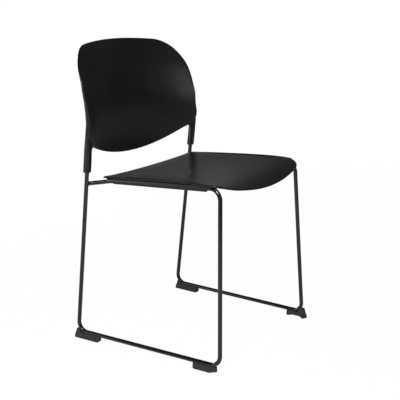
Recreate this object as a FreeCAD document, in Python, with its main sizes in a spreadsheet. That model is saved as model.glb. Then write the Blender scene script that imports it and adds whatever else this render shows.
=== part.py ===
"""Stacking choir chair: a moulded seat and a moulded backrest on a frame of bent steel rod.

The sitter faces -Y, +Z is up and the floor is z = 0. The origin is on the floor, under the middle of
the chair's width and depth. Left and right are the sitter's, so left is +X. Millimetres.
"""
import FreeCAD, Part
import Sketcher
import math
import os

Vector = FreeCAD.Vector
UP = Vector(0, 0, 1)
SIDES = (("left", 1), ("right", -1))
ENDS = (("front", -1), ("rear", 1))

# How far the seat and back faces are carried past their outlines before they are trimmed
TRIM = 4.0

# Level sections between the top of the post and the place where its sleeve ends in the rim
TAPER_STEPS = 6

# How near two faces of the bent rods lie when they count as one
JOIN_TOLERANCE = 0.001

# Points that the front face of the backrest runs through: columns on each half, and levels
BACK_COLUMNS = 6
BACK_LEVELS = 10

# Each driving dimension: its name, its value and what it measures. Stations are distances along the
# chair from the middle of the runner, positive to the rear.
DIMENSIONS = (
    ("rod_diameter", 11.0, "steel rod of the whole frame"),
    ("runner_height", 20.0, "centre of the runner above the floor"),
    ("wheelbase", 449.0, "front corner to rear corner of the runner"),
    ("origin_setback", 14.0, "origin behind the middle of the runner"),
    ("rear_corner_half_width", 234.5, "rear corner of the runner from the middle plane"),
    ("front_corner_half_width", 220.7, "front corner of the runner from the middle plane"),
    ("rail_front_half_width", 191.5, "front end of the seat rail from the middle plane"),
    ("rail_front_setback", 18.5, "front end of the seat rail behind the front corner"),
    ("rail_front_height", 463.0, "front end of the seat rail above the floor"),
    ("rail_rear_half_width", 192.0, "rear end of the seat rail from the middle plane"),
    ("rail_rear_station", 129.0, "rear end of the seat rail"),
    ("rail_rear_height", 442.0, "rear end of the seat rail above the floor"),
    ("weld_drop", 4.0, "joint of the rail with the back post, below the rear end of the rail"),
    ("post_top_half_width", 236.6, "top of the back post from the middle plane"),
    ("post_top_advance", 61.6, "top of the back post ahead of the rear corner"),
    ("post_rise", 107.0, "top of the back post above its joint with the rail"),
    ("floor_bend_radius", 26.0, "bends at both ends of the runner, on the centre line"),
    ("top_bend_radius", 28.0, "bend from the front leg to the rail, on the centre line"),
    ("jog_bend_radius", 20.0, "bend from the rail to the post, on the centre line"),
    ("weld_gap", 0.1, "gap between the coped end of a cross rod and the rail"),
    ("weld_bead", 1.6, "weld round the rail where it meets the post"),
    ("front_cross_station", -135.0, "front cross rod"),
    ("rear_cross_station", 75.0, "rear cross rod"),
    ("cross_flat_half_width", 120.0, "level middle of a cross rod from the middle plane"),
    ("cross_bend_radius", 40.0, "bends of a cross rod, on the centre line"),
    ("cross_clearance", 5.0, "cross rod below the seat shell at the middle plane"),
    ("tab_half_spacing", 95.0, "seat tab from the middle plane"),
    ("tab_length", 32.0, "seat tab along the chair"),
    ("tab_width", 22.0, "seat tab across the chair"),
    ("tab_thickness", 3.0, "steel of the seat tab"),
    ("tab_hole_diameter", 5.4, "hole for the seat screw"),
    ("tab_hole_offset", 15.0, "hole from the axis of the cross rod"),
    ("tab_corner_radius", 5.0, "corners of the free end of a tab"),
    ("seat_screw_diameter", 4.8, "shank of a seat screw"),
    ("seat_screw_head_diameter", 9.6, "pan head of a seat screw"),
    ("seat_screw_head_height", 3.2, "pan head of a seat screw"),
    ("screw_clearance", 0.1, "gap round a screw shank"),
    ("screw_cover", 1.4, "plastic left above the tip of a seat screw"),
    ("seat_thickness", 4.2, "wall of the seat shell"),
    ("seat_overhang", 14.0, "seat shell at its widest, outward of the rear end of the rail"),
    ("seat_side_bow", 3.0, "corners of the seat shell, inward of its widest place"),
    ("seat_rear_station", 147.0, "rear corners of the seat shell"),
    ("seat_rear_bow", 10.0, "middle of the rear edge behind its corners"),
    ("seat_front_station", -241.0, "middle of the front edge"),
    ("seat_front_sweep", 20.5, "front corners behind the middle of the front edge, before rounding"),
    ("seat_front_radius", 66.0, "rounding of the front corners in plan"),
    ("seat_rear_radius", 7.0, "rounding of the rear corners in plan"),
    ("seat_rim_chamfer", 1.3, "bevel of the rim, above and below"),
    ("seat_rear_rise", 12.4, "edge above the rail line at the rear"),
    ("seat_middle_rise", 15.0, "edge above the rail line at the middle"),
    ("seat_thigh_rise", 15.0, "edge above the rail line under the thighs"),
    ("seat_crest_rise", 12.6, "edge above the rail line at the crest"),
    ("seat_nose_rise", 0.6, "edge above the rail line at the nose"),
    ("seat_rear_dish", 7.0, "middle below the edge at the rear"),
    ("seat_middle_dish", 14.5, "middle below the edge at the middle"),
    ("seat_thigh_dish", 15.3, "middle below the edge under the thighs"),
    ("seat_crest_dish", 15.3, "middle below the edge at the crest"),
    ("seat_nose_dish", 25.0, "middle below the edge at the nose"),
    ("channel_wall", 1.8, "walls of the channel that covers the rail"),
    ("channel_gap", 0.6, "gap between the rail and the walls of its channel"),
    ("saddle_gap", 0.3, "gap between the rail and its saddles"),
    ("channel_front_station", -171.0, "front end of the channel"),
    ("channel_rear_station", 104.0, "rear end of the channel at its lower edge"),
    ("channel_rear_slant", 32.0, "rear end of the channel, upper edge behind lower edge"),
    ("channel_nose_radius", 15.0, "rounding of the front end of the channel"),
    ("saddle_width", 3.0, "saddle rib over the rail"),
    ("saddle_count", 6.0, "saddle ribs in each channel"),
    ("gusset_reach", 20.0, "gusset beside each saddle, inward along the shell"),
    ("gusset_rise", 12.0, "lower edge of a gusset, from the channel to its tip"),
    ("boss_diameter", 12.0, "screw boss under the seat"),
    ("back_thickness", 5.4, "wall of the backrest shell, along the chair"),
    ("back_face_advance", 0.8, "front face at the posts ahead of the top of the posts, before its flare"),
    ("back_flare", 6.5, "forward flare of the lower sides, at the posts"),
    ("back_flare_start", 150.0, "start of the flare from the middle plane"),
    ("back_flare_fade_start", 25.0, "flare starting to fade, above the top of the post"),
    ("back_flare_fade_end", 135.0, "flare gone, above the top of the post"),
    ("back_depth", 36.4, "front face at the middle behind the front face at the posts"),
    ("back_top_rise", 248.3, "top of the backrest above the top of the post"),
    ("back_bottom_drop", 57.0, "middle of the lower edge below the top of the post"),
    ("back_bottom_bow", 58.0, "lower corners before rounding, above the middle of the lower edge"),
    ("back_lower_radius", 55.0, "rounding of the lower corners"),
    ("back_rim_overhang", 10.9, "backrest at its widest, outward of the post"),
    ("back_widest_rise", 28.0, "widest place above the top of the post"),
    ("back_corner_half_width", 217.0, "upper corners before rounding, from the middle plane"),
    ("back_corner_drop", 17.0, "upper corners before rounding, below the top"),
    ("back_corner_radius", 102.0, "rounding of the upper corners"),
    ("back_curl_rise", 53.0, "start of the backward curl above the top of the post"),
    ("back_curl_radius", 318.0, "backward curl of the upper part"),
    ("back_rim_chamfer", 1.6, "bevel of the rim, front and rear"),
    ("sleeve_rise", 30.0, "lower end of the sleeve above the joint of post and rail"),
    ("sleeve_wall", 3.8, "sleeve round the post"),
    ("sleeve_corner_radius", 7.0, "rounding of the sleeve in section"),
    ("sleeve_inset", 1.0, "thinning sleeve inside the edge and the rear face of the slab"),
    ("sleeve_gap", 0.3, "gap between the post and its sleeve"),
    ("sleeve_web_radius", 12.0, "web between the sleeve and the lower edge"),
    ("sleeve_chamfer", 1.4, "lower end of the sleeve"),
    ("sleeve_taper_rise", 155.0, "sleeve thinned into the rim, above the top of the post"),
    ("sleeve_tip_width", 6.0, "width of the sleeve where it ends in the rim"),
    ("sleeve_front_cover", 1.6, "front of the sleeve behind the front face of the slab"),
    ("back_screw_height", 30.0, "screw above the lower end of the sleeve"),
    ("back_screw_diameter", 4.0, "shank of a backrest screw"),
    ("back_screw_head_diameter", 7.6, "countersunk head of a backrest screw"),
    ("back_screw_recess", 0.6, "head of a backrest screw below the rear of the sleeve"),
    ("foot_length", 68.0, "glide along the runner, at the floor"),
    ("foot_heel", 6.0, "glide beyond the corner of the runner, at the floor"),
    ("foot_heel_lean", 3.5, "heel leaning inward from the floor to its top"),
    ("foot_width", 24.0, "glide across the runner, at the floor"),
    ("foot_wall", 3.2, "glide beside the rod"),
    ("foot_gap", 0.3, "gap between the glide and the rod"),
    ("foot_heel_rise", 8.0, "heel above the centre of the runner"),
    ("foot_ramp_start", 10.0, "top of the ramp ahead of the heel, from the corner"),
    ("foot_ramp_end", 22.0, "foot of the ramp ahead of the heel, from the corner"),
    ("foot_lip", 3.0, "bulge of the toe"),
    ("foot_side_height", 8.0, "upright part of the sides"),
    ("foot_rounding", 2.5, "upright corners of a glide"),
    ("foot_heel_pad", 17.0, "pad at the heel of a front glide"),
    ("foot_toe_pad", 11.0, "pad at the toe of a front glide"),
    ("foot_arch_height", 5.0, "arch in the inner side of a front glide"),
    ("foot_peg_diameter", 5.0, "locating peg of a glide"),
    ("foot_peg_height", 4.0, "locating peg inside the rod"),
    ("foot_peg_setback", 40.0, "locating peg from the corner of the runner"),
)

document = FreeCAD.newDocument("choir_chair")
sheet = document.addObject("Spreadsheet::Sheet", "sizes")
for row, (alias, value, meaning) in enumerate(DIMENSIONS, 1):
    sheet.set("A%d" % row, alias)
    sheet.set("B%d" % row, str(value))
    sheet.set("C%d" % row, meaning)
    sheet.setAlias("B%d" % row, alias)
document.recompute()


def size(alias):
    """A driving dimension, as the sheet holds it."""
    return float(sheet.get(alias))


rod_radius = size("rod_diameter") / 2
half_wheelbase = size("wheelbase") / 2


def place(half_width, station, height, side=1):
    """A point given by its distance from the middle plane, its station and its height."""
    return Vector(side * half_width, station - size("origin_setback"), height)


def add_feature(label, shape):
    """Puts a finished shape into the document as a sub-part."""
    feature = document.addObject("Part::Feature", label)
    feature.Label = label
    feature.Shape = shape
    return feature


def single_solid(shape):
    """The one solid that a boolean should have left."""
    merged = shape.removeSplitter()
    if len(merged.Solids) != 1:
        raise ValueError("expected one solid, found %d" % len(merged.Solids))
    return merged.Solids[0]


def between(first, second, share):
    """The point that lies the given share of the way from the first point to the second."""
    return first + (second - first) * share


def rounded_path(points, radii):
    """A wire of straight runs with a tangent arc of the given radius at each inner point."""
    edges = []
    start = points[0]
    for before, corner, after, radius in zip(points, points[1:], points[2:], radii):
        arriving = (corner - before).normalize()
        leaving = (after - corner).normalize()
        turn = arriving.getAngle(leaving)
        reach = radius * math.tan(turn / 2)
        inward = (leaving - arriving).normalize()
        middle = corner + inward * (radius / math.cos(turn / 2) - radius)
        arc_start = corner - arriving * reach
        arc_end = corner + leaving * reach
        edges.append(Part.LineSegment(start, arc_start).toShape())
        edges.append(Part.Arc(arc_start, middle, arc_end).toShape())
        start = arc_end
    edges.append(Part.LineSegment(start, points[-1]).toShape())
    return Part.Wire(edges)


def rod_along(points, radii, radius):
    """A round rod along a path of straight runs and bends."""
    path = rounded_path(points, radii)
    section = Part.Wire(Part.Circle(points[0], points[1] - points[0], radius).toShape())
    return path.makePipe(Part.Face(section))


# Frame: the points where the straight runs of a side frame would meet, on the centre line

def weld_height():
    return size("rail_rear_height") - size("weld_drop")


def post_top_height():
    return weld_height() + size("post_rise")


def sleeve_bottom():
    return weld_height() + size("sleeve_rise")


def rear_corner(side):
    return place(size("rear_corner_half_width"), half_wheelbase, size("runner_height"), side)


def front_corner(side):
    return place(size("front_corner_half_width"), -half_wheelbase, size("runner_height"), side)


def rail_front(side):
    station = size("rail_front_setback") - half_wheelbase
    return place(size("rail_front_half_width"), station, size("rail_front_height"), side)


def rail_rear(side):
    return place(
        size("rail_rear_half_width"), size("rail_rear_station"), size("rail_rear_height"), side
    )


def post_top(side):
    station = half_wheelbase - size("post_top_advance")
    return place(size("post_top_half_width"), station, post_top_height(), side)


def post_at(height, side):
    """The centre of the back post at a height."""
    lower, upper = rear_corner(side), post_top(side)
    return between(lower, upper, (height - lower.z) / (upper.z - lower.z))


def rail_at(station, side):
    """The centre line of the seat rail, carried on past both its ends."""
    front, rear = rail_front(side), rail_rear(side)
    along = station - size("origin_setback")
    return between(front, rear, (along - front.y) / (rear.y - front.y))


def rail_height(station):
    return rail_at(station, 1).z


def runner_direction(side):
    """The way along the runner, from its front corner to its rear corner."""
    return (rear_corner(side) - front_corner(side)).normalize()


def foot_frame(side, end):
    """The placement of a glide: y out along the runner from its corner, z up, floor at z = 0."""
    corner = rear_corner(side) if end > 0 else front_corner(side)
    outward = runner_direction(side) * end
    angle = math.degrees(math.atan2(outward.y, outward.x)) - 90
    return FreeCAD.Placement(Vector(corner.x, corner.y, 0), FreeCAD.Rotation(UP, angle))


def back_screw_place(side):
    """Where the axis of a backrest screw crosses the axis of the post."""
    return post_at(sleeve_bottom() + size("back_screw_height"), side)


def frame_points(side):
    """The corners of the front half of a side frame: runner, leg, rail and jog to the post."""
    runner_middle = between(rear_corner(side), front_corner(side), 0.5)
    weld = post_at(weld_height(), side)
    return (runner_middle, front_corner(side), rail_front(side), rail_rear(side), weld)


def front_half_rod(side, radius):
    bends = (size("floor_bend_radius"), size("top_bend_radius"), size("jog_bend_radius"))
    return rod_along(frame_points(side), bends, radius)


def rear_half_rod(side, radius):
    points = (post_top(side), rear_corner(side), frame_points(side)[0])
    return rod_along(points, (size("floor_bend_radius"),), radius)


def weld_bead(side):
    """The weld round the rail where it meets the post, tapering along the rail."""
    weld = post_at(weld_height(), side)
    along = (rail_rear(side) - weld).normalize()
    start = weld + along * rod_radius / 2
    reach = rod_radius + size("weld_bead") * 4
    high, low = rod_radius + size("weld_bead"), rod_radius - size("weld_bead")
    return Part.makeCone(high, low, reach, start, along)


def side_frame_shape(side):
    """One bent rod from the top of the post round to the weld on the same post."""
    rods = [front_half_rod(side, rod_radius), weld_bead(side)]
    frame = single_solid(rear_half_rod(side, rod_radius).fuse(rods, JOIN_TOLERANCE))
    for _, end in ENDS:
        hole = Part.makeCylinder(
            size("foot_peg_diameter") / 2 + size("foot_gap"),
            size("runner_height") - rod_radius + size("foot_peg_height") + size("foot_gap"),
            Vector(0, -size("foot_peg_setback"), 0),
        )
        hole.Placement = foot_frame(side, end)
        frame = frame.cut(hole)
    pilot = Part.makeCylinder(
        size("back_screw_diameter") / 2 + size("screw_clearance"),
        size("rod_diameter") * 2,
        back_screw_place(side) - Vector(0, size("rod_diameter"), 0),
        Vector(0, 1, 0),
    )
    return single_solid(frame.cut(pilot))


# Seat: its upper face runs through one dished arc at each of five stations

def circle_radius(half_chord, rise):
    return (half_chord ** 2 + rise ** 2) / (2 * rise)


def drop_at(radius, distance):
    """How far a circle has left its tangent at a distance along that tangent."""
    return radius - math.sqrt(radius ** 2 - distance ** 2)


def seat_half_width():
    return size("rail_rear_half_width") + size("seat_overhang")


def seat_stations():
    """Station, height of the edge and height of the middle, from the rear to the nose."""
    rear = size("seat_rear_station") + size("seat_rear_bow") + TRIM
    nose = size("seat_front_station") - TRIM
    shares = (("rear", 0), ("middle", 0.3), ("thigh", 0.58), ("crest", 0.78), ("nose", 1))
    stations = []
    for name, share in shares:
        station = rear + (nose - rear) * share
        edge = rail_height(station) + size("seat_%s_rise" % name)
        stations.append((station, edge, edge - size("seat_%s_dish" % name)))
    return stations


def seat_upper_face():
    """The upper face of the seat, carried on past its outline by the trim."""
    reach = seat_half_width() + TRIM
    sections = []
    for station, edge, middle in seat_stations():
        radius = circle_radius(seat_half_width(), edge - middle)
        outer = middle + drop_at(radius, reach)
        arc = Part.Arc(
            place(reach, station, outer, -1), place(0, station, middle), place(reach, station, outer)
        )
        sections.append(Part.Wire(arc.toShape()))
    return Part.makeLoft(sections, False, False).Faces[0]


def seat_height(half_width, station):
    """Height of the upper face of the seat at a place."""
    foot = place(half_width, station, 0)
    line = Part.makeLine(foot, foot + UP * post_top_height())
    return seat_face.distToShape(line)[1][0][0].z


def below_seat(depth):
    """Everything under the upper face of the seat, from a depth below it."""
    face = seat_face.translated(UP * -depth)
    return face.extrude(UP * -size("rail_rear_height") / 4)


def seat_outline_prism():
    """The outline of the seat in plan, as tall as the shell needs."""
    half = seat_half_width()
    corner = half - size("seat_side_bow")
    rear = size("seat_rear_station")
    nose = size("seat_front_station")
    front = nose + size("seat_front_sweep")
    middle = (rear + front) / 2
    level = size("rail_rear_height") / 2
    edges = (
        Part.Arc(place(corner, rear, level, -1), place(0, rear + size("seat_rear_bow"), level),
                 place(corner, rear, level)),
        Part.Arc(place(corner, rear, level), place(half, middle, level), place(corner, front, level)),
        Part.Arc(place(corner, front, level), place(0, nose, level), place(corner, front, level, -1)),
        Part.Arc(place(corner, front, level, -1), place(half, middle, level, -1),
                 place(corner, rear, level, -1)),
    )
    face = Part.Face(Part.Wire([edge.toShape() for edge in edges]))
    prism = face.extrude(UP * size("rail_rear_height"))
    upright = [edge for edge in prism.Edges if edge.BoundBox.ZLength > level]
    rear_edges = [edge for edge in upright if edge.BoundBox.Center.y > 0]
    front_edges = [edge for edge in upright if edge.BoundBox.Center.y < 0]
    prism = prism.makeFillet(size("seat_rear_radius"), rear_edges)
    front_edges = [nearest_edge(prism, edge.BoundBox.Center) for edge in front_edges]
    return prism.makeFillet(size("seat_front_radius"), front_edges)


def nearest_edge(shape, point):
    """The edge of a shape whose middle lies nearest to a point."""
    return min(shape.Edges, key=lambda edge: (edge.BoundBox.Center - point).Length)


def seat_plate():
    """The shell itself: the dished face given its thickness, its outline and a bevelled rim."""
    thickness = size("seat_thickness")
    plate = seat_face.extrude(UP * -thickness).common(seat_outline_prism()).Solids[0]
    rim = [edge for edge in plate.Edges if edge.Length > thickness * 1.5]
    return plate.makeChamfer(size("seat_rim_chamfer"), rim).Solids[0]


def rail_slab(corners, half_width, side):
    """A slab in line with the rail: its outline in stations and heights, and half its width."""
    face = Part.Face(Part.makePolygon(
        [rail_plane_point(corner, side) for corner in corners + corners[:1]]
    ))
    along = rail_rear(side) - rail_front(side)
    across = along.cross(UP).normalize() * half_width
    return face.translated(-across).extrude(across * 2)


def rail_plane_point(corner, side):
    """A point of the upright plane through the rail, from its station and height."""
    station, height = corner
    axis = rail_at(station, side)
    return Vector(axis.x, axis.y, height)


def seat_channel(side):
    """The channel under the edge of the seat that covers the rail, with its saddle ribs."""
    inner_half_width = rod_radius + size("channel_gap")
    wall = size("channel_wall")
    front = size("channel_front_station")
    rear = size("channel_rear_station")
    back_reach = size("channel_rear_slant") * 2
    above = post_top_height()
    lower_front = rail_height(front) - rod_radius
    lower_rear = rail_height(rear) - rod_radius
    corners = [
        (front, above),
        (front, lower_front),
        (rear, lower_rear),
        (rear + back_reach, lower_rear + size("rod_diameter") * 2),
        (rear + back_reach, above),
    ]
    block = rail_slab(corners, inner_half_width + wall, side)
    block = block.makeFillet(size("channel_nose_radius"), [nearest_lowest_front(block)])
    hollow_corners = [
        (front + wall, above),
        (front + wall, lower_front - wall),
        (rear + back_reach, lower_rear - wall),
        (rear + back_reach, above),
    ]
    hollow = rail_slab(hollow_corners, inner_half_width, side)
    half = size("saddle_width") / 2
    ribs = []
    for station in saddle_stations():
        floor = rail_height(station)
        rib_corners = [
            (station - half, floor),
            (station + half, floor),
            (station + half, above),
            (station - half, above),
        ]
        ribs.append(rail_slab(rib_corners, inner_half_width + wall / 2, side))
    return block.cut(hollow).fuse(ribs)


def nearest_lowest_front(block):
    """The lower front edge of a slab, which runs across the chair."""
    across = [edge for edge in block.Edges if edge.BoundBox.XLength > edge.BoundBox.ZLength * 5]
    lowest = sorted(across, key=lambda edge: edge.BoundBox.Center.y)[:2]
    return min(lowest, key=lambda edge: edge.BoundBox.Center.z)


def saddle_stations():
    """Evenly spaced along the channel, clear of its two ends."""
    count = int(size("saddle_count"))
    first = size("channel_front_station") + size("channel_nose_radius")
    last = size("channel_rear_station") - size("saddle_width") * 3
    return [first + (last - first) * index / (count - 1) for index in range(count)]


def seat_gusset(station, side):
    """A thin web between the inner wall of the channel and the underside of the shell."""
    axis = rail_at(station, side)
    wall_face = abs(axis.x) - rod_radius - size("channel_gap") - size("channel_wall") / 2
    tip = wall_face - size("gusset_reach")
    foot = axis.z - rod_radius / 2
    corners = (
        (wall_face, foot),
        (tip, foot + size("gusset_rise")),
        (tip, post_top_height()),
        (wall_face, post_top_height()),
        (wall_face, foot),
    )
    half = size("saddle_width") / 2
    face = Part.Face(Part.makePolygon([place(x, station - half, z, side) for x, z in corners]))
    return face.extrude(Vector(0, half * 2, 0))


# Cross rods: level in the middle, rising to the rails at both ends

def cross_station(end_name):
    return size("%s_cross_station" % end_name)


def cross_rod_height(end_name):
    """Centre of the level middle, under the lowest part of the seat shell."""
    underside = seat_height(0, cross_station(end_name)) - size("seat_thickness")
    return underside - size("cross_clearance") - rod_radius


def cross_rod_points(end_name):
    station = cross_station(end_name)
    height = cross_rod_height(end_name)
    half = size("cross_flat_half_width")
    return (
        rail_at(station, -1),
        place(half, station, height, -1),
        place(half, station, height),
        rail_at(station, 1),
    )


def cross_rod_shape(end_name):
    """The rod with both ends coped to the rails that it is welded to."""
    bends = (size("cross_bend_radius"),) * 2
    rod = rod_along(cross_rod_points(end_name), bends, rod_radius)
    rod = rod.cut([front_half_rod(side, rod_radius + size("weld_gap")) for _, side in SIDES])
    return max(rod.Solids, key=lambda solid: solid.Volume)


def cross_rod_slot(end_name, side):
    """Room in the inner wall of the channel for the cross rod, open below."""
    station = cross_station(end_name)
    rail_end = rail_at(station, side)
    flat_end = place(size("cross_flat_half_width"), station, cross_rod_height(end_name), side)
    half = rod_radius + size("channel_gap")
    depth = UP * -size("rod_diameter") * 2
    rise = UP * half
    corners = [
        rail_end + rise,
        flat_end + rise,
        flat_end + depth,
        rail_end + depth,
        rail_end + rise,
    ]
    step = Vector(0, -half, 0)
    face = Part.Face(Part.makePolygon([corner + step for corner in corners]))
    return face.extrude(step * -2)


# Seat tabs and the screws that pass up through them

def tab_places():
    """Name, end, side and sign of each tab: the front ones point forward, the rear ones back."""
    return [(end_name, end, side_name, side) for end_name, end in ENDS for side_name, side in SIDES]


def tab_level(end_name):
    """Underside of a tab, let into the top of its cross rod by a quarter of its thickness."""
    return cross_rod_height(end_name) + rod_radius - size("tab_thickness") / 4


def screw_place(end_name, end, side):
    """The axis of a seat screw at the underside of its tab."""
    station = cross_station(end_name) + end * size("tab_hole_offset")
    return place(size("tab_half_spacing"), station, tab_level(end_name), side)


def screw_reach():
    """Length of a seat screw above the underside of its tab, alike for all four."""
    reaches = []
    for end_name, end in ENDS:
        station = cross_station(end_name) + end * size("tab_hole_offset")
        top = seat_height(size("tab_half_spacing"), station)
        reaches.append(top - size("screw_cover") - tab_level(end_name))
    return min(reaches)


def seat_shell_shape():
    """The whole moulding: shell, two channels with saddles and gussets, and four screw bosses."""
    channels = [seat_channel(side) for _, side in SIDES]
    gussets = [seat_gusset(station, side) for _, side in SIDES for station in saddle_stations()]
    removed = [front_half_rod(side, rod_radius + size("saddle_gap")) for _, side in SIDES]
    bosses = []
    pilots = []
    for end_name, end, _, side in tab_places():
        removed.append(cross_rod_slot(end_name, side))
        axis = screw_place(end_name, end, side)
        face = axis + UP * size("tab_thickness")
        bosses.append(Part.makeCylinder(size("boss_diameter") / 2, size("rail_rear_height"), face))
        pilot_radius = size("seat_screw_diameter") / 2 + size("screw_clearance")
        pilots.append(Part.makeCylinder(pilot_radius, screw_reach() + size("saddle_gap"), axis))
    underneath = channels[0].fuse(channels[1:] + gussets).cut(removed).fuse(bosses)
    underneath = underneath.common(below_seat(size("seat_thickness") / 2))
    return single_solid(seat_plate().fuse(underneath).cut(pilots))


# Backrest: one curved slab with a sleeve down each side

def curl_at(height):
    """How far back the upper part of the backrest has curled at a height."""
    above = height - post_top_height() - size("back_curl_rise")
    return drop_at(size("back_curl_radius"), above) if above > 0 else 0.0


def back_flare(half_width, height):
    """How far the lower sides of the front face reach forward, next to the posts."""
    start = size("back_flare_start")
    share = (half_width - start) / (size("post_top_half_width") - start)
    rise = height - post_top_height() - size("back_flare_fade_start")
    fade = rise / (size("back_flare_fade_end") - size("back_flare_fade_start"))
    kept = (1 + math.cos(math.pi * min(max(fade, 0), 1))) / 2
    return size("back_flare") * max(share, 0) ** 2 * kept


def back_front_station(half_width, height):
    """The front face of the backrest at a place."""
    line = half_wheelbase - size("post_top_advance") - size("back_face_advance")
    radius = circle_radius(size("post_top_half_width"), size("back_depth"))
    flat = line + size("back_depth") - drop_at(radius, half_width)
    return flat + curl_at(height) - back_flare(half_width, height)


def back_patch(depth):
    """The front face of the backrest moved back by a depth, carried on past its outline."""
    reach = back_widest() + TRIM
    bottom = sleeve_bottom() + TRIM
    top = back_top() + TRIM
    rows = []
    for column in range(-BACK_COLUMNS, BACK_COLUMNS + 1):
        half_width = reach * abs(column) / BACK_COLUMNS
        side = -1 if column < 0 else 1
        row = []
        for level in range(BACK_LEVELS + 1):
            height = bottom + (top - bottom) * level / BACK_LEVELS
            station = back_front_station(half_width, height) + depth
            row.append(place(half_width, station, height, side))
        rows.append(row)
    surface = Part.BSplineSurface()
    surface.interpolate(rows)
    return surface.toShape()


def back_slab():
    """The curved slab, trimmed to its outline, with a bevelled rim."""
    thickness = Vector(0, size("back_thickness"), 0)
    slab = back_patch(0).extrude(thickness).common(back_outline_prism()).Solids[0]
    rim = [edge for edge in slab.Edges if edge.Length > size("back_thickness") * 1.5]
    return slab.makeChamfer(size("back_rim_chamfer"), rim).Solids[0]


def back_web(side):
    """The web behind the lower corner, with a hollow round between sleeve and lower edge."""
    radius = size("sleeve_web_radius")
    inner = size("post_top_half_width") - sleeve_half()
    lower = circle_radius(back_edge(back_bottom() + size("back_bottom_bow")), size("back_bottom_bow"))
    slope = math.asin(inner / lower)
    crossing = back_bottom() + drop_at(lower, inner)
    centre = Vector(inner - radius, 0, crossing - radius * (math.tan(slope) + 1 / math.cos(slope)))
    on_edge = centre + Vector(-math.sin(slope), 0, math.cos(slope)) * radius
    on_sleeve = centre + Vector(radius, 0, 0)
    halfway = centre + (on_edge + on_sleeve - centre * 2).normalize() * radius
    high = crossing + radius
    outer = inner + sleeve_half()
    front = -size("origin_setback")
    hollow = Part.Arc(*[place(point.x, front, point.z, side) for point in (on_sleeve, halfway, on_edge)])
    border = [
        place(on_edge.x, front, on_edge.z, side),
        place(on_edge.x, front, high, side),
        place(outer, front, high, side),
        place(outer, front, on_sleeve.z, side),
        place(on_sleeve.x, front, on_sleeve.z, side),
    ]
    outline = Part.Wire([hollow.toShape()] + Part.makePolygon(border).Edges)
    prism = Part.Face(outline).extrude(Vector(0, size("wheelbase"), 0))
    thickness = Vector(0, size("back_thickness"), 0)
    return back_patch(size("back_rim_chamfer") * 1.2).extrude(thickness).common(prism).Solids[0]


def back_top():
    return post_top_height() + size("back_top_rise")


def back_bottom():
    return post_top_height() - size("back_bottom_drop")


def back_widest():
    return size("post_top_half_width") + size("back_rim_overhang")


def back_edge(height):
    """Half the width of the backrest at a height, on the arc of its side edge."""
    middle = post_top_height() + size("back_widest_rise")
    corner = back_top() - size("back_corner_drop")
    inset = back_widest() - size("back_corner_half_width")
    radius = circle_radius(corner - middle, inset)
    return back_widest() - drop_at(radius, abs(height - middle))


def sleeve_half():
    return rod_radius + size("sleeve_wall")


def back_outline_prism():
    """The outline of the backrest seen from the front, as deep as the slab needs."""
    front = -size("origin_setback")
    low = back_bottom() + size("back_bottom_bow")
    high = back_top() - size("back_corner_drop")
    widest = post_top_height() + size("back_widest_rise")
    low_half = back_edge(low)
    high_half = size("back_corner_half_width")
    arcs = [
        Part.Arc(
            place(low_half, front, low, -1),
            place(0, front, back_bottom()),
            place(low_half, front, low),
        ),
        Part.Arc(
            place(high_half, front, high),
            place(0, front, back_top()),
            place(high_half, front, high, -1),
        ),
    ]
    for _, side in SIDES:
        arcs.append(Part.Arc(
            place(low_half, front, low, side),
            place(back_widest(), front, widest, side),
            place(high_half, front, high, side),
        ))
    outline = Part.Wire(Part.__sortEdges__([arc.toShape() for arc in arcs]))
    depth = Vector(0, size("wheelbase"), 0)
    prism = Part.Face(outline).extrude(depth)
    for radius, half_width, height in (
        (size("back_lower_radius"), low_half, low),
        (size("back_corner_radius"), high_half, high),
    ):
        corners = [
            nearest_edge(prism, place(half_width, front, height, side) + depth / 2)
            for _, side in SIDES
        ]
        prism = prism.makeFillet(radius, corners)
    return prism


def rounded_section(low, high, radius):
    """A level rounded outline between two opposite corners."""
    outline = Part.makePolygon([
        low, Vector(high.x, low.y, low.z), high, Vector(low.x, high.y, low.z), low
    ])
    prism = Part.Face(outline).extrude(UP)
    upright = [edge for edge in prism.Edges if edge.BoundBox.ZLength > 0.5]
    rounded = prism.makeFillet(radius, upright)
    lowest = min(rounded.Faces, key=lambda face: face.CenterOfMass.z)
    return lowest.OuterWire


def sleeve_section(height, side):
    """The sleeve at a height: square round the post, then a thinning band behind the rim."""
    half = sleeve_half()
    top = post_top_height()
    axis = post_at(min(height, top), 1)
    share = max(height - top, 0) / size("sleeve_taper_rise")
    width = half * 2 + (size("sleeve_tip_width") - half * 2) * share
    outer = axis.x + half
    if height > top:
        outer = back_edge(height) - size("sleeve_inset")
    axis_station = axis.y + size("origin_setback")
    face = back_front_station(outer - width / 2, max(height, back_bottom()))
    front = max(axis_station - half, face + size("sleeve_front_cover"))
    covered = height < post_top_height() - size("back_bottom_drop")
    front = axis_station - half if covered else front
    top_face = back_front_station(outer - width / 2, top) + size("back_thickness")
    reach = post_at(top, 1).y + size("origin_setback") + half - top_face
    rear = axis_station + half
    if height > top:
        slab_rear = face + size("back_thickness")
        rear = slab_rear + reach * (1 - share) - size("sleeve_inset") * share
    radius = min(size("sleeve_corner_radius"), width * 0.37, (rear - front) * 0.37)
    low = place(outer - width, front, height, 1)
    high = place(outer, rear, height, 1)
    if side < 0:
        low, high = Vector(-high.x, low.y, low.z), Vector(-low.x, high.y, high.z)
    return rounded_section(low, high, radius)


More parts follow.
